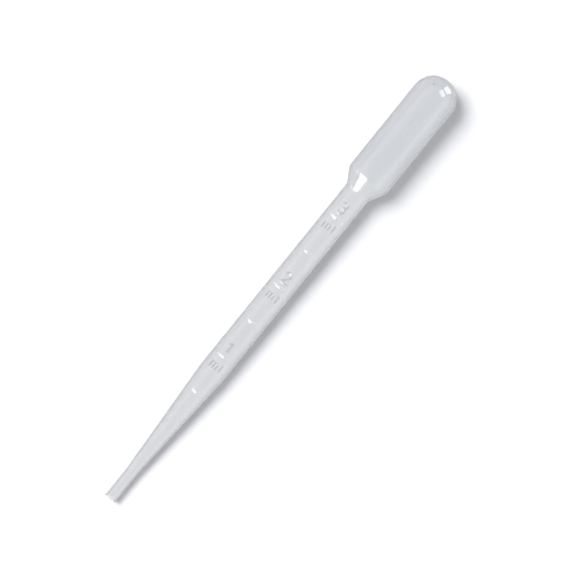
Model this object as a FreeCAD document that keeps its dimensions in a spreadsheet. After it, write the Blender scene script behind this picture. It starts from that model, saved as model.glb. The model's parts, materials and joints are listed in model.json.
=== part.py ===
import FreeCAD, Part
import math
import os

import Sketcher
from FreeCAD import Placement, Rotation, Vector

# Plastic dropper pipette, 3 ml: a transfer pipette blown in one piece from soft polyethylene.
#
# Lengths are in millimetres. The tube is drawn along +X, with its open tip at X = 0 and the dome
# of its squeeze bulb at the far end. The graduation marks stand out of it on the +Z side, and read
# upright with the bulb at the top. Last, the pipette is laid down as it rests on a bench: on the
# top of its taper and on the shoulder of its bulb, with its tip just clear of the surface.

NODE = "pipette"

# Driving dimensions: alias, value, meaning
SIZES = [
    ("tip_radius", 1.745, "outside radius of the straight tip"),
    ("tip_run", 10.2, "length of the straight tip"),
    ("tip_trim", 0.75, "depth of the round hollow that the trimming punch leaves at the mouth"),
    ("taper_run", 36.3, "length of the taper between tip and stem"),
    ("stem_radius", 4.04, "outside radius of the stem"),
    ("wall", 0.52, "wall thickness, the same all over"),
    ("first_mark", 39.9, "tip to the first graduation mark"),
    ("mark_volume", 500, "cubic millimetres of liquid between two marks"),
    ("mark_count", 6, "number of graduation marks, every second one at a whole millilitre"),
    ("neck_run", 9.7, "last mark to the foot of the shoulder"),
    ("shoulder_slope", 30.3, "degrees between the shoulder and the axis"),
    ("neck_blend", 2.4, "radius between stem and shoulder"),
    ("shoulder_blend", 3.4, "radius between shoulder and bulb"),
    ("bulb_radius", 6.725, "outside radius of the bulb and of its dome"),
    ("bulb_run", 29.85, "length of the bulb between shoulder and dome"),
    ("relief", 0.2, "how far marks, figures and letters stand out of the tube"),
    ("long_mark", 6.2, "width of a mark at a whole millilitre"),
    ("short_mark", 3.6, "width of a mark at a half millilitre"),
    ("mark_depth", 0.75, "size of a mark along the tube, at its middle"),
    ("mark_end", 0.35, "size of a mark along the tube, at its ends"),
    ("stroke", 0.45, "width of the strokes of figures and letters"),
    ("figure_height", 3.8, "height of the figures 2 and 3"),
    ("one_height", 3.1, "height of the figure 1"),
    ("figure_width", 2.3, "width of the figure 2"),
    ("figure_rise", 1.6, "mark to the foot of its figure"),
    ("unit_drop", 4.6, "mark to the foot of its letters"),
    ("letter_height", 2.2, "height of the letter m"),
    ("ascender", 2.7, "height of the letter l"),
    ("letter_pitch", 1.0, "spacing of the legs of the letter m"),
    ("letter_gap", 1.3, "last leg of the m to the l"),
    ("text_shift", 0.3, "how far figures and letters sit to the left of the axis"),
    ("vent_radius", 0.28, "radius of the round vent witness on the dome"),
    ("vent_lean", 38.4, "degrees from straight up to the vent witness"),
    ("vent_turn", 36.9, "degrees from the axis to the vent witness, seen from above"),
]


def cell(alias):
    """The expression that reads one size from the sheet."""
    return f"<<Sizes>>.{alias}"


# Places along the tube that follow from the driving dimensions, as expressions
BORE = f"({cell('stem_radius')} - {cell('wall')})"
MARK_PITCH = f"({cell('mark_volume')} / (pi * pow({BORE}; 2)))"
TAPER_END = f"({cell('tip_run')} + {cell('taper_run')})"
LAST_MARK = f"({cell('first_mark')} + ({cell('mark_count')} - 1) * {MARK_PITCH})"
SHOULDER_FOOT = f"({LAST_MARK} + {cell('neck_run')})"
SLOPE = f"({cell('shoulder_slope')} * 1 deg)"
SHOULDER_RISE = f"({cell('bulb_radius')} - {cell('stem_radius')})"
BULB_START = f"({SHOULDER_FOOT} + {SHOULDER_RISE} / tan({SLOPE}))"
DOME_START = f"({BULB_START} + {cell('bulb_run')})"

# From a blended corner to where its arc begins and ends
NECK_REACH = f"({cell('neck_blend')} * tan({SLOPE} / 2))"
BULB_REACH = f"({cell('shoulder_blend')} * tan({SLOPE} / 2))"

# The angle at which the pipette lies: over the top of the taper and the arc of the bulb's shoulder
REST_RUN = f"({BULB_START} + {BULB_REACH} - {TAPER_END})"
REST_RISE = f"({SHOULDER_RISE} - {cell('shoulder_blend')})"
REST_SPAN = f"sqrt(pow({REST_RUN}; 2) + pow({REST_RISE}; 2))"
LIE = f"(atan({REST_RISE} / {REST_RUN}) + asin({cell('shoulder_blend')} / {REST_SPAN}))"


def make_sheet(doc):
    sheet = doc.addObject("Spreadsheet::Sheet", "Sizes")
    for row, (alias, value, meaning) in enumerate(SIZES, start=1):
        sheet.set(f"A{row}", alias)
        sheet.set(f"B{row}", str(value))
        sheet.set(f"C{row}", meaning)
        sheet.setAlias(f"B{row}", alias)
    doc.recompute()
    return sheet


def number(sheet, expression):
    """What an expression comes to now, as a plain number."""
    value = sheet.evalExpression(expression)
    return float(getattr(value, "Value", value))


def bind(thing, expressions):
    """Bind an object's properties, named in a dictionary, to expressions."""
    for name, expression in expressions.items():
        thing.setExpression(name, expression)


# ---- the blown tube ------------------------------------------------------------------------------

def plane_sketch(body, name, role):
    """A new sketch on one of a body's own origin planes."""
    plane = next(f for f in body.Origin.OriginFeatures if f.Role == role)
    sketch = body.newObject("Sketcher::SketchObject", name)
    sketch.AttachmentSupport = [(plane, "")]
    sketch.MapMode = "FlatFace"
    return sketch


def driven(sketch, name, constraint, expression):
    """Add a constraint under a name of its own, with its value bound to an expression."""
    index = sketch.addConstraint(constraint)
    sketch.renameConstraint(index, name)
    sketch.setExpression(f"Constraints.{name}", expression)


def hold(sketch, name, edge, end, along, across):
    """Hold an edge's end at its distances from the origin; None puts it on that axis."""
    for axis, line, expression in (("X", -2, along), ("Y", -1, across)):
        if expression is None:
            sketch.addConstraint(Sketcher.Constraint("PointOnObject", edge, end, line))
            continue
        here = sketch.getPoint(edge, end)
        size = here.x if axis == "X" else here.y
        distance = Sketcher.Constraint(f"Distance{axis}", -1, 1, edge, end, size)
        driven(sketch, f"{name}_{axis}", distance, expression)


def arc_between(start, end, radius, turn):
    """The arc from start to end that turns left (+1) or right (-1)."""
    chord = end - start
    side = Vector(-chord.y, chord.x, 0).normalize() * turn
    depth = math.sqrt(max(radius ** 2 - (chord.Length / 2) ** 2, 0.0))
    centre = start + chord / 2 + side * depth
    first, last = (start, end) if turn > 0 else (end, start)
    angles = [math.atan2(p.y - centre.y, p.x - centre.x) for p in (first, last)]
    return Part.ArcOfCircle(Part.Circle(centre, Vector(0, 0, 1), radius), *angles)


def draw_outline(sheet, sketch, corners):
    """Draw a closed outline. A corner is a name, its two places, and None or (radius, turn) for
    the arc that leads on from it."""
    def place(corner):
        return Vector(*(number(sheet, e) if e else 0.0 for e in corner[1:3]), 0)

    ends = []
    for corner, after in zip(corners, corners[1:] + corners[:1]):
        start, end = place(corner), place(after)
        if corner[3] is None:
            edge = sketch.addGeometry(Part.LineSegment(start, end), False)
            ends.append((edge, 1, 2))
            continue
        radius, turn = corner[3]
        arc = arc_between(start, end, number(sheet, radius), turn)
        edge = sketch.addGeometry(arc, False)
        ends.append((edge, 1, 2) if turn > 0 else (edge, 2, 1))

    for (edge, _, end), (after, start, _) in zip(ends, ends[1:] + ends[:1]):
        sketch.addConstraint(Sketcher.Constraint("Coincident", edge, end, after, start))
    for (edge, start, _), (name, along, across, arc) in zip(ends, corners):
        hold(sketch, name, edge, start, along, across)
        if arc is not None:
            size = Sketcher.Constraint("Radius", edge, number(sheet, arc[0]))
            driven(sketch, f"{name}_radius", size, arc[0])


def wall_section(sheet, sketch):
    """Half of the tube's section: along its outside to the dome, and back along its inside."""
    tip, stem, bulb, wall = (cell(a) for a in ("tip_radius", "stem_radius", "bulb_radius", "wall"))
    neck, shoulder = cell("neck_blend"), cell("shoulder_blend")
    out, up = f"cos({SLOPE})", f"sin({SLOPE})"
    neck_start = f"{SHOULDER_FOOT} - {NECK_REACH}"
    neck_end = (f"{SHOULDER_FOOT} + {NECK_REACH} * {out}", f"{stem} + {NECK_REACH} * {up}")
    bulb_start = (f"{BULB_START} - {BULB_REACH} * {out}", f"{bulb} - {BULB_REACH} * {up}")
    bulb_end = f"{BULB_START} + {BULB_REACH}"
    inward = (f"+ {wall} * {up}", f"- {wall} * {out}")
    draw_outline(sheet, sketch, [
        ("mouth", None, tip, None),
        ("tip_end", cell("tip_run"), tip, None),
        ("stem_foot", TAPER_END, stem, None),
        ("neck_start", neck_start, stem, (neck, 1)),
        ("neck_end", neck_end[0], neck_end[1], None),
        ("shoulder_start", bulb_start[0], bulb_start[1], (shoulder, -1)),
        ("shoulder_end", bulb_end, bulb, None),
        ("dome_start", DOME_START, bulb, (bulb, -1)),
        ("dome_top", f"{DOME_START} + {bulb}", None, None),
        ("inner_dome_top", f"{DOME_START} + {bulb} - {wall}", None, (f"{bulb} - {wall}", 1)),
        ("inner_dome_start", DOME_START, f"{bulb} - {wall}", None),
        ("inner_shoulder_end", bulb_end, f"{bulb} - {wall}", (f"{shoulder} - {wall}", 1)),
        ("inner_shoulder_start", bulb_start[0] + inward[0], bulb_start[1] + inward[1], None),
        ("inner_neck_end", neck_end[0] + inward[0], neck_end[1] + inward[1],
         (f"{neck} + {wall}", -1)),
        ("inner_neck_start", neck_start, f"{stem} - {wall}", None),
        ("inner_stem_foot", TAPER_END, f"{stem} - {wall}", None),
        ("inner_tip_end", cell("tip_run"), f"{tip} - {wall}", None),
        ("inner_mouth", None, f"{tip} - {wall}", None),
    ])


def turned_body(doc, sheet, name, draw):
    """A body with one section, drawn by draw(), turned about the tube's axis."""
    body = doc.addObject("PartDesign::Body", name)
    sketch = plane_sketch(body, f"{name}_section", "XY_Plane")
    draw(sheet, sketch)
    doc.recompute()
    turned = body.newObject("PartDesign::Revolution", f"{name}_turned")
    turned.Profile = sketch
    turned.ReferenceAxis = (sketch, ["H_Axis"])
    turned.Angle = 360
    doc.recompute()
    return body


def trim_mouth(doc, sheet, body):
    """Hollow the mouth as a round punch does, from corner to corner of the tip."""
    tip, trim = cell("tip_radius"), cell("tip_trim")
    punch = f"((pow({tip}; 2) + pow({trim}; 2)) / (2 * {trim}))"
    back = f"({punch} - {trim})"
    sketch = plane_sketch(body, "punch_section", "XY_Plane")
    centre = Vector(-number(sheet, back), 0, 0)
    circle = Part.Circle(centre, Vector(0, 0, 1), number(sheet, punch))
    edge = sketch.addGeometry(circle, False)
    sketch.addConstraint(Sketcher.Constraint("PointOnObject", edge, 3, -1))
    driven(sketch, "back", Sketcher.Constraint("DistanceX", edge, 3, -1, 1, -centre.x), back)
    driven(sketch, "punch", Sketcher.Constraint("Radius", edge, circle.Radius), punch)
    doc.recompute()
    before = body.Shape.Volume
    pocket = body.newObject("PartDesign::Pocket", "mouth_trim")
    pocket.Profile = sketch
    pocket.Type = "ThroughAll"
    pocket.SideType = "Symmetric"
    doc.recompute()
    if not body.Shape.Volume < before:
        raise RuntimeError("the punch cut nothing from the mouth")


# ---- the raised marks ----------------------------------------------------------------------------
# Each stroke stands up from the tube's axis plane, and the band trims it to the relief. In a figure
# or letter, right is -Y and up is +X. Places are from the mark's line, and from the tube's axis.

STROKE = cell("stroke")
STROKE_TOP = f"({cell('stem_radius')} + 2 * {cell('relief')})"


def band_section(sheet, sketch):
    """The layer that the marks fill: from inside the wall to the top of the relief."""
    tip, stem, wall = cell("tip_radius"), cell("stem_radius"), cell("wall")
    relief = cell("relief")
    draw_outline(sheet, sketch, [
        ("tip_low", cell("tip_run"), f"{tip} - {wall} / 2", None),
        ("foot_low", TAPER_END, f"{stem} - {wall} / 2", None),
        ("neck_low", SHOULDER_FOOT, f"{stem} - {wall} / 2", None),
        ("neck_high", SHOULDER_FOOT, f"{stem} + {relief}", None),
        ("foot_high", TAPER_END, f"{stem} + {relief}", None),
        ("tip_high", cell("tip_run"), f"{tip} + {relief}", None),
    ])


def bar(doc, name, up, right, length, width, turn="0 deg"):
    """A straight stroke that starts at (up, right) and runs along its own middle line."""
    box = doc.addObject("Part::Box", name)
    bind(box, {
        "Length": length,
        "Width": width,
        "Height": STROKE_TOP,
        "Placement.Rotation.Angle": turn,
        "Placement.Base.x": f"{up} + {width} / 2 * sin({turn})",
        "Placement.Base.y": f"-({right}) - {width} / 2 * cos({turn})",
    })
    return box


def bow(doc, name, up, right, radius, start, sweep):
    """A curved stroke about (up, right), from the angle start and round by sweep, both in degrees
    counterclockwise from the right."""
    rims = []
    for rim, grown in (("outside", f"{radius} + {STROKE} / 2"), ("inside", f"{radius} - {STROKE} / 2")):
        disc = doc.addObject("Part::Cylinder", f"{name}_{rim}")
        bind(disc, {
            "Radius": grown,
            "Height": STROKE_TOP,
            "Placement.Base.x": up,
            "Placement.Base.y": f"-({right})",
        })
        rims.append(disc)
    rims[0].Angle = sweep
    rims[0].Placement = Placement(Vector(), Rotation(Vector(0, 0, 1), start - 90))
    curved = doc.addObject("Part::Cut", name)
    curved.Base, curved.Tool = rims
    return curved


def graduation(doc, name, line, width):
    """One mark: straight on its upper side and bellied towards the tip on its lower side."""
    depth, end = cell("mark_depth"), cell("mark_end")
    belly = f"({depth} - {end})"
    radius = f"((pow({width} / 2; 2) + pow({belly}; 2)) / (2 * {belly}))"
    blank = bar(doc, f"{name}_blank", f"{line} - {depth} / 2", "0", depth, width)
    edge = doc.addObject("Part::Cylinder", f"{name}_belly")
    bind(edge, {
        "Radius": radius,
        "Height": STROKE_TOP,
        "Placement.Base.x": f"{line} - {depth} / 2 + {radius}",
    })
    mark = doc.addObject("Part::Common", name)
    mark.Base, mark.Tool = blank, edge
    return mark


def figure_one(doc, foot, middle):
    tall = cell("one_height")
    flag = f"({cell('figure_width')} / 3)"
    return [
        bar(doc, "one_stem", foot, middle, tall, STROKE),
        bar(doc, "one_flag", f"{foot} + {tall} - {flag}", f"{middle} - {flag}",
            f"{flag} * sqrt(2) - {STROKE} / 2", STROKE, "-45 deg"),
    ]


def figure_two(doc, foot, middle):
    radius = f"(({cell('figure_width')} - {STROKE}) / 2)"
    centre = f"({cell('figure_height')} - {STROKE} / 2 - {radius})"
    bend = 35  # degrees past the right at which the head runs into the neck
    rise = f"({centre} - {radius} * sin({bend} deg) - {STROKE} / 2)"
    run = f"({radius} + {radius} * cos({bend} deg))"
    return [
        bow(doc, "two_head", f"{foot} + {centre}", middle, radius, -bend, bend + 170),
        bar(doc, "two_neck", f"{foot} + {STROKE} / 2", f"{middle} - {radius}",
            f"sqrt(pow({rise}; 2) + pow({run}; 2))", STROKE, f"-atan({run} / {rise})"),
        bar(doc, "two_base", foot, middle, STROKE, cell("figure_width")),
    ]


def figure_three(doc, foot, middle):
    radius = f"(({cell('figure_height')} - {STROKE}) / 4)"
    low = f"{foot} + {STROKE} / 2 + {radius}"
    return [
        bow(doc, "three_head", f"{low} + 2 * {radius}", middle, radius, -90, 240),
        bow(doc, "three_base", low, middle, radius, -150, 240),
    ]


def unit_letters(doc, name, foot, middle):
    """The letters ml: three legs under two arches, and a taller stroke."""
    pitch, gap, height = cell("letter_pitch"), cell("letter_gap"), cell("letter_height")
    left = f"({middle} - {pitch} - {gap} / 2)"
    radius = f"({pitch} / 2)"
    strokes = []
    for leg in range(3):
        top = f"({height} - {radius})" if leg else height
        strokes.append(bar(doc, f"{name}_leg_{leg}", foot, f"{left} + {leg} * {pitch}", top, STROKE))
    for arch in range(2):
        strokes.append(bow(doc, f"{name}_arch_{arch}", f"{foot} + {height} - {radius} - {STROKE} / 2",
                           f"{left} + {arch} * {pitch} + {radius}", radius, 0, 180))
    strokes.append(bar(doc, f"{name}_l", foot, f"{left} + 2 * {pitch} + {gap}",
                       cell("ascender"), STROKE))
    return strokes


def raised_marks(doc, sheet):
    """All graduations, figures and letters, trimmed to the relief over the tube."""
    figures = (figure_one, figure_two, figure_three)
    middle = f"(-{cell('text_shift')})"
    strokes = []
    for step in range(int(sheet.mark_count)):
        line = f"({cell('first_mark')} + {step} * {MARK_PITCH})"
        millilitre, whole = divmod(step + 1, 2)
        width = cell("short_mark") if whole else cell("long_mark")
        strokes.append(graduation(doc, f"mark_{step + 1}", line, width))
        if whole:
            continue
        if millilitre <= len(figures):
            strokes += figures[millilitre - 1](doc, f"({line} + {cell('figure_rise')})", middle)
        strokes += unit_letters(doc, f"unit_{millilitre}", f"({line} - {cell('unit_drop')})", middle)
    blanks = doc.addObject("Part::MultiFuse", "mark_blanks")
    blanks.Shapes = strokes
    marks = doc.addObject("Part::Common", "marks")
    marks.Base = turned_body(doc, sheet, "band", band_section)
    marks.Tool = blanks
    return marks


def vent_witness(doc):
    """The small round witness that the mould's vent leaves on the dome."""
    lean, turn = f"({cell('vent_lean')} * 1 deg)", f"({cell('vent_turn')} * 1 deg)"
    reach = f"({cell('bulb_radius')} - {cell('vent_radius')} / 2)"
    ball = doc.addObject("Part::Sphere", "vent_witness")
    bind(ball, {
        "Radius": cell("vent_radius"),
        "Placement.Base.x": f"{DOME_START} + {reach} * sin({lean}) * cos({turn})",
        "Placement.Base.y": f"{reach} * sin({lean}) * sin({turn})",
        "Placement.Base.z": f"{reach} * cos({lean})",
    })
    return ball


# ---- the pipette ---------------------------------------------------------------------------------

def lay_down(pipette):
    """Lay the pipette on Z = 0 as it rests, with the origin under the middle of its length."""
    pipette.Placement = Placement(Vector(), Rotation(Vector(0, -1, 0), 1))
    bind(pipette, {
        "Placement.Rotation.Angle": LIE,
        "Placement.Base.x": f"-({DOME_START} * cos({LIE}) + {cell('bulb_radius')}) / 2",
        "Placement.Base.z": f"{cell('stem_radius')} * cos({LIE}) - {TAPER_END} * sin({LIE})",
    })


def check(doc, pipette):
    for thing in doc.Objects:
        if {"Invalid", "Error"} & set(thing.State):
            raise RuntimeError(f"{thing.Name} failed: {thing.State}")
        shape = getattr(thing, "Shape", None)
        if shape is not None and (shape.isNull() or not shape.isValid()):
            raise RuntimeError(f"{thing.Name} has no valid shape")
    if len(pipette.Shape.Solids) != 1:
        raise RuntimeError("the pipette is not one solid")


def main():
    doc = FreeCAD.newDocument("dropper_pipette")
    sheet = make_sheet(doc)
    tube = turned_body(doc, sheet, "tube", wall_section)
    trim_mouth(doc, sheet, tube)
    pipette = doc.addObject("Part::MultiFuse", NODE)
    pipette.Label = NODE
    pipette.Shapes = [tube, raised_marks(doc, sheet), vent_witness(doc)]
    lay_down(pipette)
    doc.recompute()
    check(doc, pipette)
    os.makedirs("parts", exist_ok=True)
    pipette.Shape.exportStep(f"parts/{pipette.Label}.step")
    box = pipette.Shape.optimalBoundingBox()
    print(f"{NODE}: {box.XLength:.3f} x {box.YLength:.3f} x {box.ZLength:.3f} mm, "
          f"{pipette.Shape.Volume:.1f} cubic mm")


main()
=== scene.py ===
import json
import math

import bmesh
import bpy
import numpy as np
from mathutils import Matrix, Vector


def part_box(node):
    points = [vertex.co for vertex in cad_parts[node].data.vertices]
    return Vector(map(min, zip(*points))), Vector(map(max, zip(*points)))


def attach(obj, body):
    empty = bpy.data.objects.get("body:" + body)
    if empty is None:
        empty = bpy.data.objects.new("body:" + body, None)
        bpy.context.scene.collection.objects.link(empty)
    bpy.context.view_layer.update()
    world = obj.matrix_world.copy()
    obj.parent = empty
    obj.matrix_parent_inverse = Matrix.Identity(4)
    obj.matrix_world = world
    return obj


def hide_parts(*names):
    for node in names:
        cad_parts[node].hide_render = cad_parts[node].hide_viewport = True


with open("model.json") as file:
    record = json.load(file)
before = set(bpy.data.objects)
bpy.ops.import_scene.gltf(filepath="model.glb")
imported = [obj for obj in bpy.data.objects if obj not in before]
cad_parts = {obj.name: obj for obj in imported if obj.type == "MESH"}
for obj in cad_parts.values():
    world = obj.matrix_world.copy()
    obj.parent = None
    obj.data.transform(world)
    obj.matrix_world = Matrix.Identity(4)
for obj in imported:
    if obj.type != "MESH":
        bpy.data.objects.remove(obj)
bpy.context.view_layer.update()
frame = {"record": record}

# Plastic dropper pipette, 3 ml, blown in one piece from natural polyethylene.
#
# The tube is drawn along +X with the middle of its mouth at the origin and its marks on the +Z
# side, and is then laid where the CAD tube lies. Lengths are in metres: millimetres times MM.

MM = 0.001
NODE = "pipette"


# ---- the tube's sizes ----------------------------------------------------------------------------

MOUNTS = {mount["name"]: mount for mount in frame["record"]["mounts"]}


def mount_size(name, size):
    return MOUNTS[name]["dims"][size] * MM


# From the frame
TIP_RADIUS = mount_size("tip_outside", "r_mm")
TIP_RUN = mount_size("tip_outside", "length_mm")
WALL = TIP_RADIUS - mount_size("tip_bore", "r_mm")
BORE = TIP_RADIUS - WALL
STEM_RADIUS = mount_size("stem_outside", "r_mm")
STEM_RUN = mount_size("stem_outside", "length_mm")
STEM_BORE = STEM_RADIUS - WALL

ALONG = -Vector(MOUNTS["tip_outside"]["axis"]).normalized()
MOUTH = Vector(MOUNTS["tip_outside"]["pos_m"]) - ALONG * TIP_RUN / 2
STEM_MIDDLE = (Vector(MOUNTS["stem_outside"]["pos_m"]) - MOUTH).dot(ALONG)
TAPER_END = STEM_MIDDLE - STEM_RUN / 2
NECK_START = STEM_MIDDLE + STEM_RUN / 2

LOW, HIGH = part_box(NODE)
BULB_RADIUS = max(HIGH.y, -LOW.y)
DOME_START = (HIGH.x - BULB_RADIUS - MOUTH.x) / ALONG.x

# As the CAD tube has them
SHOULDER_SLOPE = math.radians(30.3)
NECK_BLEND = 2.4 * MM
SHOULDER_BLEND = 3.4 * MM
MOUTH_HOLLOW = 0.75 * MM
FIRST_MARK = 39.9 * MM
MARK_VOLUME = 500 * MM ** 3
MARK_PITCH = MARK_VOLUME / (math.pi * STEM_BORE ** 2)
MARK_COUNT = 6
LONG_MARK = 6.2 * MM
SHORT_MARK = 3.6 * MM
FIGURE_RISE = 1.6 * MM
UNIT_DROP = 4.6 * MM
TEXT_SHIFT = 0.3 * MM
TEXT_HEIGHT = 3.8 * MM
VENT_LEAN = math.radians(38.4)
VENT_TURN = math.radians(36.9)

# A little bolder than the CAD tube has them
RELIEF = 0.28 * MM
MARK_DEPTH = 0.86 * MM
MARK_END = 0.58 * MM
STROKE = 0.52 * MM  # the pen's width: middle lines stop half of it short of a figure's outline
VENT_RADIUS = 0.34 * MM

# Finer than the CAD tube has them
SHARP_FLANK = 0.06 * MM  # run of a mark's upper side and ends, from its foot to its full height
GENTLE_FLANK = 0.86 * MM  # and of its lower side
STROKE_SLOPE = 0.56  # rise of a stroke's flank over its run, from its foot to its ridge
FIGURE_REACH = 0.42 * MM  # from the middle of a stroke to its foot
UNIT_REACH = 0.3 * MM
SOFT_BLEND = 30 * MM  # how gently the taper runs into the tip and the stem
LIP = 0.08 * MM  # rounding of the mouth's two edges
PARTING_HEIGHT = 0.045 * MM
VENT_HEIGHT = 0.7 * VENT_RADIUS

# Reach of each blend from its corner, and what follows from it
TAPER_SLOPE = math.atan2(STEM_RADIUS - TIP_RADIUS, TAPER_END - TIP_RUN)
TAPER_REACH = SOFT_BLEND * math.tan(TAPER_SLOPE / 2)
NECK_REACH = NECK_BLEND * math.tan(SHOULDER_SLOPE / 2)
SHOULDER_REACH = SHOULDER_BLEND * math.tan(SHOULDER_SLOPE / 2)
SHOULDER_FOOT = NECK_START + NECK_REACH
SHOULDER_TOP = SHOULDER_FOOT + (BULB_RADIUS - STEM_RADIUS) / math.tan(SHOULDER_SLOPE)
BULB_START = SHOULDER_TOP + SHOULDER_REACH
MOUTH_EDGE = 1.6 * MOUTH_HOLLOW  # where the punch's hollow no longer reaches

# Mesh: the rows along the marks, the steps of each arc, and the sectors about the axis
ROW = 0.085 * MM
DOME_STEPS = (16, 12, 8)  # above the vent, across it and below it
VENT_MARGIN = 1.4  # how far the steps across the vent reach from its middle, in its radii
TAPER_STEPS = 4
NECK_STEPS = 8
SHOULDER_STEPS = 10
LIP_STEPS = 3
INNER_DOME_STEPS = 24

# From the +Y side of the marks round to it again: degrees and columns
FRONT = 56
SEAM = 5
SIDE = 90 - FRONT - SEAM
SECTORS = [(2 * FRONT, 96), (SIDE, 5), (2 * SEAM, 10), (180 - 2 * SEAM, 30), (2 * SEAM, 10),
           (SIDE, 5)]


# ---- materials -----------------------------------------------------------------------------------

def colour(code):
    """A hex sRGB colour as linear RGBA."""
    parts = [int(code[i:i + 2], 16) / 255 for i in (1, 3, 5)]
    linear = [p / 12.92 if p <= 0.04045 else ((p + 0.055) / 1.055) ** 2.4 for p in parts]
    return (*linear, 1.0)


def add(tree, kind, links=None, **settings):
    """A new node with its settings. Each link names an input and gives a value or another node's
    output."""
    node = tree.nodes.new(kind)
    for name, value in settings.items():
        setattr(node, name, value)
    for name, value in (links or {}).items():
        if isinstance(value, bpy.types.NodeSocket):
            tree.links.new(value, node.inputs[name])
        else:
            node.inputs[name].default_value = value
    return node


def new_tree(owner):
    owner.use_nodes = True
    owner.node_tree.nodes.clear()
    return owner.node_tree


WHITE = "#ffffff"
HAZE = "#fcfdfe"
HAZE_SIZE = 9 * MM
# Painted shade: the bulb is tinted a little darker than the stem, standing in for the deeper shade
# under the wide bulb
BULB_SHADE_TINT = "#fbfcfd"
BULB_SHADE_FROM = LOW.x + 0.74 * (HIGH.x - LOW.x)  # the tint comes in up the shoulder
BULB_SHADE_FULL = LOW.x + 0.80 * (HIGH.x - LOW.x)
# Painted shade: the grey that the raised strokes and the vent are tinted towards
MARK_SHADE_TINT = "#cfd1d4"
DEPTH_TINT = "#c6c9d0"
DEPTH_DENSITY = 480


def natural_polyethylene():
    """Blown low-density polyethylene without pigment: milky and satin. Its haze scatters the light
    in the wall, so the body bends it far less than clear plastic would and the tube doesn't act as
    a lens. The coat is the smooth skin from the mould, with the plastic's own gloss. The grey in
    the depth of the wall draws the dark line inside each edge. Painted shade makes the raised
    strokes and the vent greyer, and the bulb a little darker than the stem."""
    material = bpy.data.materials.new("natural_polyethylene")
    tree = new_tree(material)
    place = add(tree, "ShaderNodeTexCoord").outputs["Object"]
    haze = add(tree, "ShaderNodeTexNoise", {
        "Vector": place, "Scale": 1 / HAZE_SIZE, "Detail": 2.0})
    tint = add(tree, "ShaderNodeMix", {
        0: haze.outputs["Fac"],
        6: colour(WHITE),
        7: colour(HAZE),
    }, data_type="RGBA")
    split = add(tree, "ShaderNodeSeparateXYZ", {0: place})
    on_bulb = add(tree, "ShaderNodeMapRange", {
        "Value": split.outputs["X"], "From Min": BULB_SHADE_FROM, "From Max": BULB_SHADE_FULL})
    # Painted shade: the bulb's darker tint, faded in up the shoulder
    bulb_shade = add(tree, "ShaderNodeMix", {
        0: on_bulb.outputs["Result"],
        6: colour(WHITE),
        7: colour(BULB_SHADE_TINT),
    }, data_type="RGBA")
    toned = add(tree, "ShaderNodeMix", {
        0: 1.0,
        6: tint.outputs[2],
        7: bulb_shade.outputs[2],
    }, data_type="RGBA", blend_type="MULTIPLY")
    # Painted shade: the raised strokes and the vent are mixed towards a grey tint by their stored
    # share
    raised = add(tree, "ShaderNodeAttribute", attribute_name="relief")
    body = add(tree, "ShaderNodeMix", {
        0: raised.outputs["Fac"],
        6: toned.outputs[2],
        7: colour(MARK_SHADE_TINT),
    }, data_type="RGBA")
    plastic = add(tree, "ShaderNodeBsdfPrincipled", {
        "Base Color": body.outputs[2],
        "Roughness": 0.1,
        "IOR": 1.15,
        "Transmission Weight": 0.95,
        "Coat Weight": 1.0,
        "Coat Roughness": 0.14,
    })
    depth = add(tree, "ShaderNodeVolumeAbsorption", {
        "Color": colour(DEPTH_TINT),
        "Density": DEPTH_DENSITY,
    })
    add(tree, "ShaderNodeOutputMaterial", {
        "Surface": plastic.outputs["BSDF"], "Volume": depth.outputs["Volume"]})
    return material


# ---- the blown tube ------------------------------------------------------------------------------

def outer_radius(along):
    """The outside radius of the tube, with its blends left out."""
    if along > DOME_START:
        return math.sqrt(max(BULB_RADIUS ** 2 - (along - DOME_START) ** 2, 0))
    if along > NECK_START:
        rise = (along - NECK_START) * math.tan(SHOULDER_SLOPE)
        return min(STEM_RADIUS + rise, BULB_RADIUS)
    share = (along - TIP_RUN) / (TAPER_END - TIP_RUN)
    return TIP_RADIUS + (STEM_RADIUS - TIP_RADIUS) * min(max(share, 0), 1)


def on_outside(place):
    """Whether a place on the tube's wall is on its outer face."""
    if place.x > DOME_START:
        return (place - Vector((DOME_START, 0, 0))).length > BULB_RADIUS - WALL / 2
    return math.hypot(place.y, place.z) > outer_radius(place.x) - WALL / 2


def mark_lines():
    """Each mark's number, counted from 1, and its place."""
    return [(n + 1, FIRST_MARK + n * MARK_PITCH) for n in range(MARK_COUNT)]


def mark_zones():
    """The stretches of the tube that have raised marks on them, from the bulb to the tip."""
    zones = []
    for number, line in reversed(mark_lines()):
        if number % 2:
            zones.append((line + MARK_DEPTH, line - MARK_DEPTH))
        else:
            zones.append((line + FIGURE_RISE + TEXT_HEIGHT + STROKE, line - UNIT_DROP - STROKE))
    return zones


def line_to(bm, vert, along, out):
    """Carry the outline straight on to a place along the axis and out from it."""
    drawn = bmesh.ops.extrude_vert_indiv(bm, verts=[vert])["verts"][0]
    drawn.co = (along, 0, out)
    return drawn


def arc_on(bm, vert, along, out, turn, steps):
    """Carry the outline on round an arc about a centre. A positive turn goes from +Z to +X."""
    swept = bmesh.ops.spin(bm, geom=[vert], cent=(along, 0, out), axis=(0, 1, 0), angle=turn,
                           steps=steps)
    return swept["geom_last"][0]


def draw_dome(bm):
    """The outside of the dome from its top, in finer steps where the vent is."""
    vert = bm.verts.new((DOME_START + BULB_RADIUS, 0, 0))
    to_vent = math.acos(math.sin(VENT_LEAN) * math.cos(VENT_TURN))
    vent_half = VENT_MARGIN * VENT_RADIUS / BULB_RADIUS
    turns = (to_vent - vent_half, 2 * vent_half, math.pi / 2 - to_vent - vent_half)
    for turn, steps in zip(turns, DOME_STEPS):
        vert = arc_on(bm, vert, DOME_START, 0, -turn, steps)
    return vert


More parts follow.
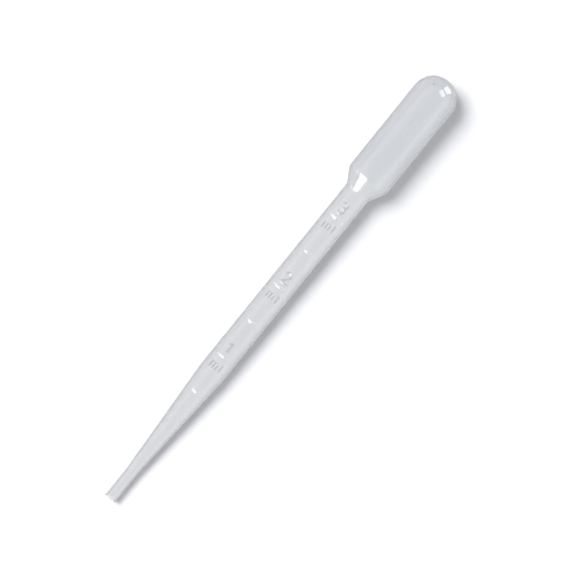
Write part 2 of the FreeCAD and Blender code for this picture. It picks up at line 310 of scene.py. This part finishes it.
def draw_outside(bm):
    """The outside of the tube's section, from the top of the dome to the mouth."""
    vert = draw_dome(bm)
    vert = line_to(bm, vert, BULB_START, BULB_RADIUS)
    vert = arc_on(bm, vert, BULB_START, BULB_RADIUS - SHOULDER_BLEND, -SHOULDER_SLOPE,
                  SHOULDER_STEPS)
    vert = line_to(bm, vert, SHOULDER_FOOT + NECK_REACH * math.cos(SHOULDER_SLOPE),
                   STEM_RADIUS + NECK_REACH * math.sin(SHOULDER_SLOPE))
    vert = arc_on(bm, vert, NECK_START, STEM_RADIUS + NECK_BLEND, SHOULDER_SLOPE, NECK_STEPS)
    stops = [place for zone in mark_zones() for place in zone]
    for place in sorted(stops, reverse=True):
        if place < TAPER_END < vert.co.x:
            vert = line_to(bm, vert, TAPER_END + TAPER_REACH, STEM_RADIUS)
            vert = arc_on(bm, vert, TAPER_END + TAPER_REACH, STEM_RADIUS - SOFT_BLEND,
                          -TAPER_SLOPE, TAPER_STEPS)
        vert = line_to(bm, vert, place, outer_radius(place))
    vert = line_to(bm, vert, TIP_RUN + TAPER_REACH * math.cos(TAPER_SLOPE),
                   TIP_RADIUS + TAPER_REACH * math.sin(TAPER_SLOPE))
    vert = arc_on(bm, vert, TIP_RUN - TAPER_REACH, TIP_RADIUS + SOFT_BLEND, TAPER_SLOPE,
                  TAPER_STEPS)
    vert = line_to(bm, vert, MOUTH_EDGE, TIP_RADIUS)
    return line_to(bm, vert, LIP, TIP_RADIUS)


def draw_lip(bm, vert):
    """The flat end of the tip between its two rounded edges."""
    vert = arc_on(bm, vert, LIP, TIP_RADIUS - LIP, -math.pi / 2, LIP_STEPS)
    vert = line_to(bm, vert, 0, BORE + LIP)
    return arc_on(bm, vert, LIP, BORE + LIP, -math.pi / 2, LIP_STEPS)


def draw_inside(bm, vert):
    """The inside of the tube's section, from the mouth to the top of the dome."""
    vert = line_to(bm, vert, MOUTH_EDGE, BORE)
    vert = line_to(bm, vert, TIP_RUN - TAPER_REACH, BORE)
    vert = arc_on(bm, vert, TIP_RUN - TAPER_REACH, BORE + SOFT_BLEND, -TAPER_SLOPE, TAPER_STEPS)
    vert = line_to(bm, vert, TAPER_END - TAPER_REACH * math.cos(TAPER_SLOPE),
                   STEM_BORE - TAPER_REACH * math.sin(TAPER_SLOPE))
    vert = arc_on(bm, vert, TAPER_END + TAPER_REACH, STEM_BORE - SOFT_BLEND, TAPER_SLOPE,
                  TAPER_STEPS)
    vert = line_to(bm, vert, NECK_START, STEM_BORE)
    vert = arc_on(bm, vert, NECK_START, STEM_RADIUS + NECK_BLEND, -SHOULDER_SLOPE, NECK_STEPS)
    out, up = math.cos(SHOULDER_SLOPE), math.sin(SHOULDER_SLOPE)
    vert = line_to(bm, vert, SHOULDER_TOP - SHOULDER_REACH * out + WALL * up,
                   BULB_RADIUS - SHOULDER_REACH * up - WALL * out)
    vert = arc_on(bm, vert, BULB_START, BULB_RADIUS - SHOULDER_BLEND, SHOULDER_SLOPE,
                  SHOULDER_STEPS)
    vert = line_to(bm, vert, DOME_START, BULB_RADIUS - WALL)
    arc_on(bm, vert, DOME_START, 0, math.pi / 2, INNER_DOME_STEPS)


def turn_section(bm):
    """Spin the section about the axis, in finer steps where the marks and the seams are."""
    section = bm.verts[:] + bm.edges[:]
    bmesh.ops.rotate(bm, verts=bm.verts, matrix=Matrix.Rotation(math.radians(-FRONT), 3, "X"))
    for angle, columns in SECTORS:
        turned = bmesh.ops.spin(bm, geom=section, axis=(1, 0, 0), angle=math.radians(angle),
                                steps=columns)
        section = turned["geom_last"]
    bmesh.ops.remove_doubles(bm, verts=bm.verts, dist=0.001 * MM)
    bmesh.ops.recalc_face_normals(bm, faces=bm.faces)


def cut_rows(bm):
    """Cut the marked stretches of the front into fine rows."""
    near = 0.01 * MM
    for high, low in mark_zones():
        edges = []
        for edge in bm.edges:
            start, end = sorted(v.co.x for v in edge.verts)
            middle = (edge.verts[0].co + edge.verts[1].co) / 2
            front = abs(math.degrees(math.atan2(middle.y, middle.z))) < FRONT + 0.1
            if abs(start - low) < near and abs(end - high) < near and front and on_outside(middle):
                edges.append(edge)
        bmesh.ops.subdivide_edges(bm, edges=edges, cuts=round((high - low) / ROW),
                                  use_grid_fill=True)


# ---- the raised marks ----------------------------------------------------------------------------
# Strokes lie in the plane that faces the marks: right is -Y and up is towards the bulb. Figures
# and letters are in millimetres from the middle of their foot. A bar is its two ends. A bow is its
# centre, its radius, and where it starts and ends in degrees counterclockwise from the right.

HALF = STROKE / MM / 2

ONE = [
    ((0, HALF), (0, 3.1 - HALF)),
    ((-0.77, 2.33), (-0.1, 3.0)),
]
TWO = [
    ((0, 2.65), 0.925, -35, 170),
    ((0.76, 2.12), (HALF - 1.15, HALF)),
    ((HALF - 1.15, HALF), (1.15 - HALF, HALF)),
]
THREE = [
    ((0, 2.74), 0.84, -90, 150),
    ((0, 1.06), 0.84, -150, 90),
]
UNIT = [
    ((-1.65, HALF), (-1.65, 2.2 - HALF)),
    ((-1.15, 1.475), 0.5, 0, 180),
    ((-0.65, HALF), (-0.65, 1.475)),
    ((-0.15, 1.475), 0.5, 0, 180),
    ((0.35, HALF), (0.35, 1.475)),
    ((1.65, HALF), (1.65, 2.7 - HALF)),
]
FIGURES = {2: ONE, 4: TWO, 6: THREE}  # by the number of the mark that each stands above

# How much painted shade greys the strokes, and how thick they are before it is full
FIGURE_SHADE = 0.8
UNIT_SHADE = 1
THICK_TEXT = 0.08 * MM


def from_bar(places, start, end):
    """How far places lie from a bar's middle line."""
    start, end = np.array(start) * MM, np.array(end) * MM
    run = end - start
    share = np.clip((places - start) @ run / (run @ run), 0, 1)
    return np.linalg.norm(places - start - share[:, None] * run, axis=1)


def from_bow(places, centre, radius, start, end):
    """How far places lie from a bow's middle line."""
    away = places - np.array(centre) * MM
    turned = (np.degrees(np.arctan2(away[:, 1], away[:, 0])) - start) % 360
    across = np.abs(np.linalg.norm(away, axis=1) - radius * MM)
    ends = [np.linalg.norm(away - radius * MM * np.array((math.cos(a), math.sin(a))), axis=1)
            for a in (math.radians(start), math.radians(end))]
    return np.where(turned <= end - start, across, np.minimum(*ends))


def from_text(places, strokes, foot):
    """How far places lie from the middle lines of a figure's or a letter's strokes."""
    places = places - np.array((-TEXT_SHIFT, foot))
    away = [(from_bar if len(stroke) == 2 else from_bow)(places, *stroke) for stroke in strokes]
    return np.min(away, axis=0)


def graduation(places, width):
    """The height of a mark that rises at once at its straight upper side and falls gently to its
    bellied lower side."""
    right, up = places.T
    belly = MARK_DEPTH - MARK_END
    radius = ((width / 2) ** 2 + belly ** 2) / (2 * belly)
    lower = radius - MARK_DEPTH / 2 - np.sqrt(radius ** 2 - np.minimum(np.abs(right), width) ** 2)
    steep = np.minimum(width / 2 - np.abs(right), MARK_DEPTH / 2 - up) / SHARP_FLANK
    gentle = (up - lower) / GENTLE_FLANK
    return RELIEF * np.clip(np.minimum(steep, gentle), 0, 1)


def relief(places):
    """How high the marks stand at places on the front of the tube, and how much painted shade
    greys each place."""
    heights = np.zeros(len(places))
    stroke_shade = np.zeros(len(places))
    for number, line in mark_lines():
        local = places - np.array((0, line))
        width = SHORT_MARK if number % 2 else LONG_MARK
        heights = np.maximum(heights, graduation(local, width))
        if number in FIGURES:
            for strokes, foot, reach, shade_weight in (
                    (FIGURES[number], FIGURE_RISE, FIGURE_REACH, FIGURE_SHADE),
                    (UNIT, -UNIT_DROP, UNIT_REACH, UNIT_SHADE)):
                thick = STROKE_SLOPE * (reach - from_text(local, strokes, foot))
                heights = np.maximum(heights, thick)
                stroke_shade = np.maximum(stroke_shade, shade_weight * np.clip(thick / THICK_TEXT, 0, 1))
    return heights, stroke_shade


def raise_marks(bm):
    # Painted shade: each place's share of grey is kept on the vertices for the material
    shade_layer = bm.verts.layers.float.new("relief")
    low, high = mark_zones()[-1][1], mark_zones()[0][0]
    verts = [v for v in bm.verts if low < v.co.x < high and v.co.z > 0 and on_outside(v.co)]
    for vert, height, stroke_shade in zip(verts, *relief(np.array([(-v.co.y, v.co.x) for v in verts]))):
        vert.co += Vector((0, vert.co.y, vert.co.z)).normalized() * float(height)
        vert[shade_layer] = float(stroke_shade)


def raise_seams(bm):
    """The fine ridge that the two mould halves leave along both sides and over the dome. It fades
    out towards the top of the dome."""
    for vert in bm.verts:
        from_seam = math.degrees(math.atan2(abs(vert.co.z), abs(vert.co.y)))
        if from_seam < SEAM / 2 and on_outside(vert.co):
            out = Vector((max(vert.co.x - DOME_START, 0), vert.co.y, vert.co.z))
            height = PARTING_HEIGHT * (1 - (2 * from_seam / SEAM) ** 2)
            fade = min(math.hypot(vert.co.y, vert.co.z) / TIP_RADIUS, 1)
            vert.co += out.normalized() * height * fade


def raise_vent(bm):
    """The small round witness of the mould's vent, on the dome. Painted shade greys it fully."""
    shade_layer = bm.verts.layers.float["relief"]
    centre = Vector((DOME_START, 0, 0))
    towards = Vector((math.sin(VENT_LEAN) * math.cos(VENT_TURN),
                      math.sin(VENT_LEAN) * math.sin(VENT_TURN), math.cos(VENT_LEAN)))
    for vert in bm.verts:
        away = vert.co - centre
        distance = (away.normalized() - towards).length * BULB_RADIUS
        if away.length > BULB_RADIUS - WALL / 2 and distance < VENT_RADIUS:
            height = VENT_HEIGHT * (1 - (distance / VENT_RADIUS) ** 2)
            vert.co += away.normalized() * height
            # Painted shade: the vent's dot is greyed fully
            vert[shade_layer] = 1


def hollow_mouth(bm):
    """Set the lip back along the arc that the round punch cuts."""
    punch = (TIP_RADIUS ** 2 + MOUTH_HOLLOW ** 2) / (2 * MOUTH_HOLLOW)
    for vert in bm.verts:
        if vert.co.x < 1.01 * LIP:
            set_back = math.sqrt(punch ** 2 - vert.co.y ** 2) - (punch - MOUTH_HOLLOW)
            vert.co.x += max(set_back, 0)


def blown_tube():
    bm = bmesh.new()
    draw_inside(bm, draw_lip(bm, draw_outside(bm)))
    turn_section(bm)
    cut_rows(bm)
    raise_marks(bm)
    raise_seams(bm)
    raise_vent(bm)
    hollow_mouth(bm)
    mesh = bpy.data.meshes.new("blown_tube")
    bm.to_mesh(mesh)
    bm.free()
    mesh.transform(Matrix.Translation(MOUTH) @ ALONG.to_track_quat("X", "Z").to_matrix().to_4x4())
    mesh.shade_smooth()
    mesh.materials.append(natural_polyethylene())
    tube = bpy.data.objects.new("blown_tube", mesh)
    bpy.context.scene.collection.objects.link(tube)
    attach(tube, "root")
    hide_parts(NODE)


# ---- the stage -----------------------------------------------------------------------------------

PAPER = "#e7e7e9"
PAPER_LIFT = 0.14  # what the camera sees on top of the paper's own light, to reach plain white
PAPER_PLAIN = 0.97  # how much of the paper looks plain white in gloss and through the plastic
MIRRORED_LOSS = 0.26  # how much dimmer that plain paper is where gloss mirrors it


def white_paper():
    """Matt white paper. It keeps the pipette's shadow, and gloss and plastic show it plain."""
    material = bpy.data.materials.new("white_paper")
    tree = new_tree(material)
    ray = add(tree, "ShaderNodeLightPath")
    paper = add(tree, "ShaderNodeBsdfDiffuse", {"Color": colour(PAPER)})
    lift = add(tree, "ShaderNodeMath", {0: ray.outputs["Is Camera Ray"], 1: PAPER_LIFT},
               operation="MULTIPLY")
    glow = add(tree, "ShaderNodeEmission", {"Strength": lift.outputs[0]})
    shaded = add(tree, "ShaderNodeAddShader", {0: paper.outputs[0], 1: glow.outputs[0]})
    bent = add(tree, "ShaderNodeMath", {
        0: ray.outputs["Is Glossy Ray"], 1: ray.outputs["Is Transmission Ray"]},
        operation="MAXIMUM")
    plain = add(tree, "ShaderNodeMath", {0: bent.outputs[0], 1: PAPER_PLAIN},
                operation="MULTIPLY")
    mirrored = add(tree, "ShaderNodeMath", {
        0: ray.outputs["Is Glossy Ray"], 1: ray.outputs["Is Transmission Ray"]},
        operation="SUBTRACT", use_clamp=True)
    sheen = add(tree, "ShaderNodeMath", {0: mirrored.outputs[0], 1: -MIRRORED_LOSS, 2: 1.0},
                operation="MULTIPLY_ADD")
    white = add(tree, "ShaderNodeEmission", {"Strength": sheen.outputs[0]})
    both = add(tree, "ShaderNodeMixShader", {
        0: plain.outputs[0], 1: shaded.outputs[0], 2: white.outputs[0]})
    add(tree, "ShaderNodeOutputMaterial", {"Surface": both.outputs[0]})
    return material


def make_floor():
    bm = bmesh.new()
    bmesh.ops.create_grid(bm, x_segments=1, y_segments=1, size=6)
    mesh = bpy.data.meshes.new("floor")
    bm.to_mesh(mesh)
    bm.free()
    mesh.materials.append(white_paper())
    floor = bpy.data.objects.new("floor", mesh)
    bpy.context.scene.collection.objects.link(floor)


AMBIENT = 0.33
AMBIENT_TINT = "#f4f6ff"
# The tent that gloss and plastic show: how bright it is at each height, from the horizon up
TENT = ((0.0, 0.3), (0.55, 1.0), (0.95, 0.45))


def make_world():
    """Soft even light. The camera sees it white, and gloss and plastic show it as a tent."""
    world = bpy.data.worlds.new("surround")
    bpy.context.scene.world = world
    tree = new_tree(world)
    ray = add(tree, "ShaderNodeLightPath")
    bent = add(tree, "ShaderNodeMath", {
        0: ray.outputs["Is Glossy Ray"], 1: ray.outputs["Is Transmission Ray"]},
        operation="MAXIMUM")
    towards = add(tree, "ShaderNodeTexCoord")
    height = add(tree, "ShaderNodeSeparateXYZ", {0: towards.outputs["Generated"]})
    rise = add(tree, "ShaderNodeValToRGB", {0: height.outputs["Z"]})
    stops = rise.color_ramp.elements
    for index, (position, level) in enumerate(TENT):
        stop = stops[index] if index < len(stops) else stops.new(position)
        stop.position = position
        stop.color = (level, level, level, 1)
    ambient = add(tree, "ShaderNodeBackground", {
        "Color": colour(AMBIENT_TINT), "Strength": AMBIENT})
    tent = add(tree, "ShaderNodeBackground", {"Color": rise.outputs["Color"], "Strength": 1.0})
    white = add(tree, "ShaderNodeBackground", {"Color": colour(WHITE), "Strength": 1.0})
    lit = add(tree, "ShaderNodeMixShader", {
        0: bent.outputs[0], 1: ambient.outputs[0], 2: tent.outputs[0]})
    mixed = add(tree, "ShaderNodeMixShader", {
        0: ray.outputs["Is Camera Ray"], 1: lit.outputs[0], 2: white.outputs[0]})
    add(tree, "ShaderNodeOutputWorld", {"Surface": mixed.outputs[0]})


KEY_STRENGTH = 2.85
KEY_ANGLE = math.radians(30)
KEY_RISE = math.radians(62)


def make_key():
    """A broad soft light from the +Y side. It casts the shadow and isn't seen in the gloss."""
    light = bpy.data.lights.new("key", "SUN")
    light.energy = KEY_STRENGTH
    light.angle = KEY_ANGLE
    key = bpy.data.objects.new("key", light)
    toward = Vector((0, math.cos(KEY_RISE), math.sin(KEY_RISE)))
    key.rotation_euler = toward.to_track_quat("Z", "Y").to_euler()
    key.visible_glossy = False
    key.visible_transmission = False
    bpy.context.scene.collection.objects.link(key)


STEM_TOP = (0, 0, BULB_RADIUS)
DOME_TOP = (HIGH.x - 2 * MM, -1.3 * MM, BULB_RADIUS + 4.2 * MM)
DAYLIGHT = "#fffffd"
WARM = "#fffbef"
COOL = "#f3f9ff"

# Each highlight: what its light faces, the direction to it, how far off it is in metres, its width
# and height and its roll in degrees, its radiance and its tint
HIGHLIGHTS = {
    "window": (STEM_TOP, (-0.677, 0.398, 0.619), 2, (42, 42), 44, 8, DAYLIGHT),
    "dome_window_high": (DOME_TOP, (0.73, -0.27, 0.64), 0.6, (30, 25), 0, 6.5, WARM),
    "dome_window_low": (DOME_TOP, (0.92, -0.35, 0.04), 0.045, (29, 36), 0, 6.5, WARM),
    "right_card": (STEM_TOP, (0, -0.95, 0.31), 0.6, (110, 34), 0, 0.9, WHITE),
    "left_glint": (STEM_TOP, (-0.456, 0.886, 0.16), 1, (24, 15), 0, 5, COOL),
    "right_glint": (STEM_TOP, (-0.456, -0.886, 0.1), 1, (10, 8), 0, 11, COOL),
}


def make_softbox(name, faces, toward, distance, size, roll, radiance, tint):
    """A rectangular light that is seen only as a highlight on glossy surfaces."""
    light = bpy.data.lights.new(name, "AREA")
    light.shape = "RECTANGLE"
    light.size, light.size_y = (2 * distance * math.tan(math.radians(a) / 2) for a in size)
    light.energy = radiance * math.pi * light.size * light.size_y
    light.color = colour(tint)[:3]
    box = bpy.data.objects.new(name, light)
    direction = Vector(toward).normalized()
    box.location = Vector(faces) + direction * distance
    box.rotation_euler = (direction.to_track_quat("Z", "Y").to_matrix()
                          @ Matrix.Rotation(math.radians(roll), 3, "Z")).to_euler()
    box.visible_diffuse = False
    box.visible_transmission = False
    bpy.context.scene.collection.objects.link(box)


FRAME_WIDTH = 165.8 * MM
LENS = 250  # a long lens on a 36 mm frame, so that the view is nearly free of perspective
SENSOR = 36
AIM = Vector((2.26, -1.7, 6.0)) * MM
TUBE_TURN = math.radians(51.03)  # from the picture's right to the bulb's direction


def make_camera():
    camera = bpy.data.objects.new("camera", bpy.data.cameras.new("camera"))
    camera.data.lens = LENS
    camera.data.sensor_width = SENSOR
    camera.location = AIM + Vector((0, 0, FRAME_WIDTH * LENS / SENSOR))
    camera.rotation_euler = (0, 0, -TUBE_TURN)
    bpy.context.scene.collection.objects.link(camera)
    bpy.context.scene.camera = camera


def make_stage():
    bpy.context.scene.view_settings.view_transform = "Standard"
    make_camera()
    make_floor()
    make_world()
    make_key()
    for name, placed in HIGHLIGHTS.items():
        make_softbox(name, *placed)


make_stage()
blown_tube()
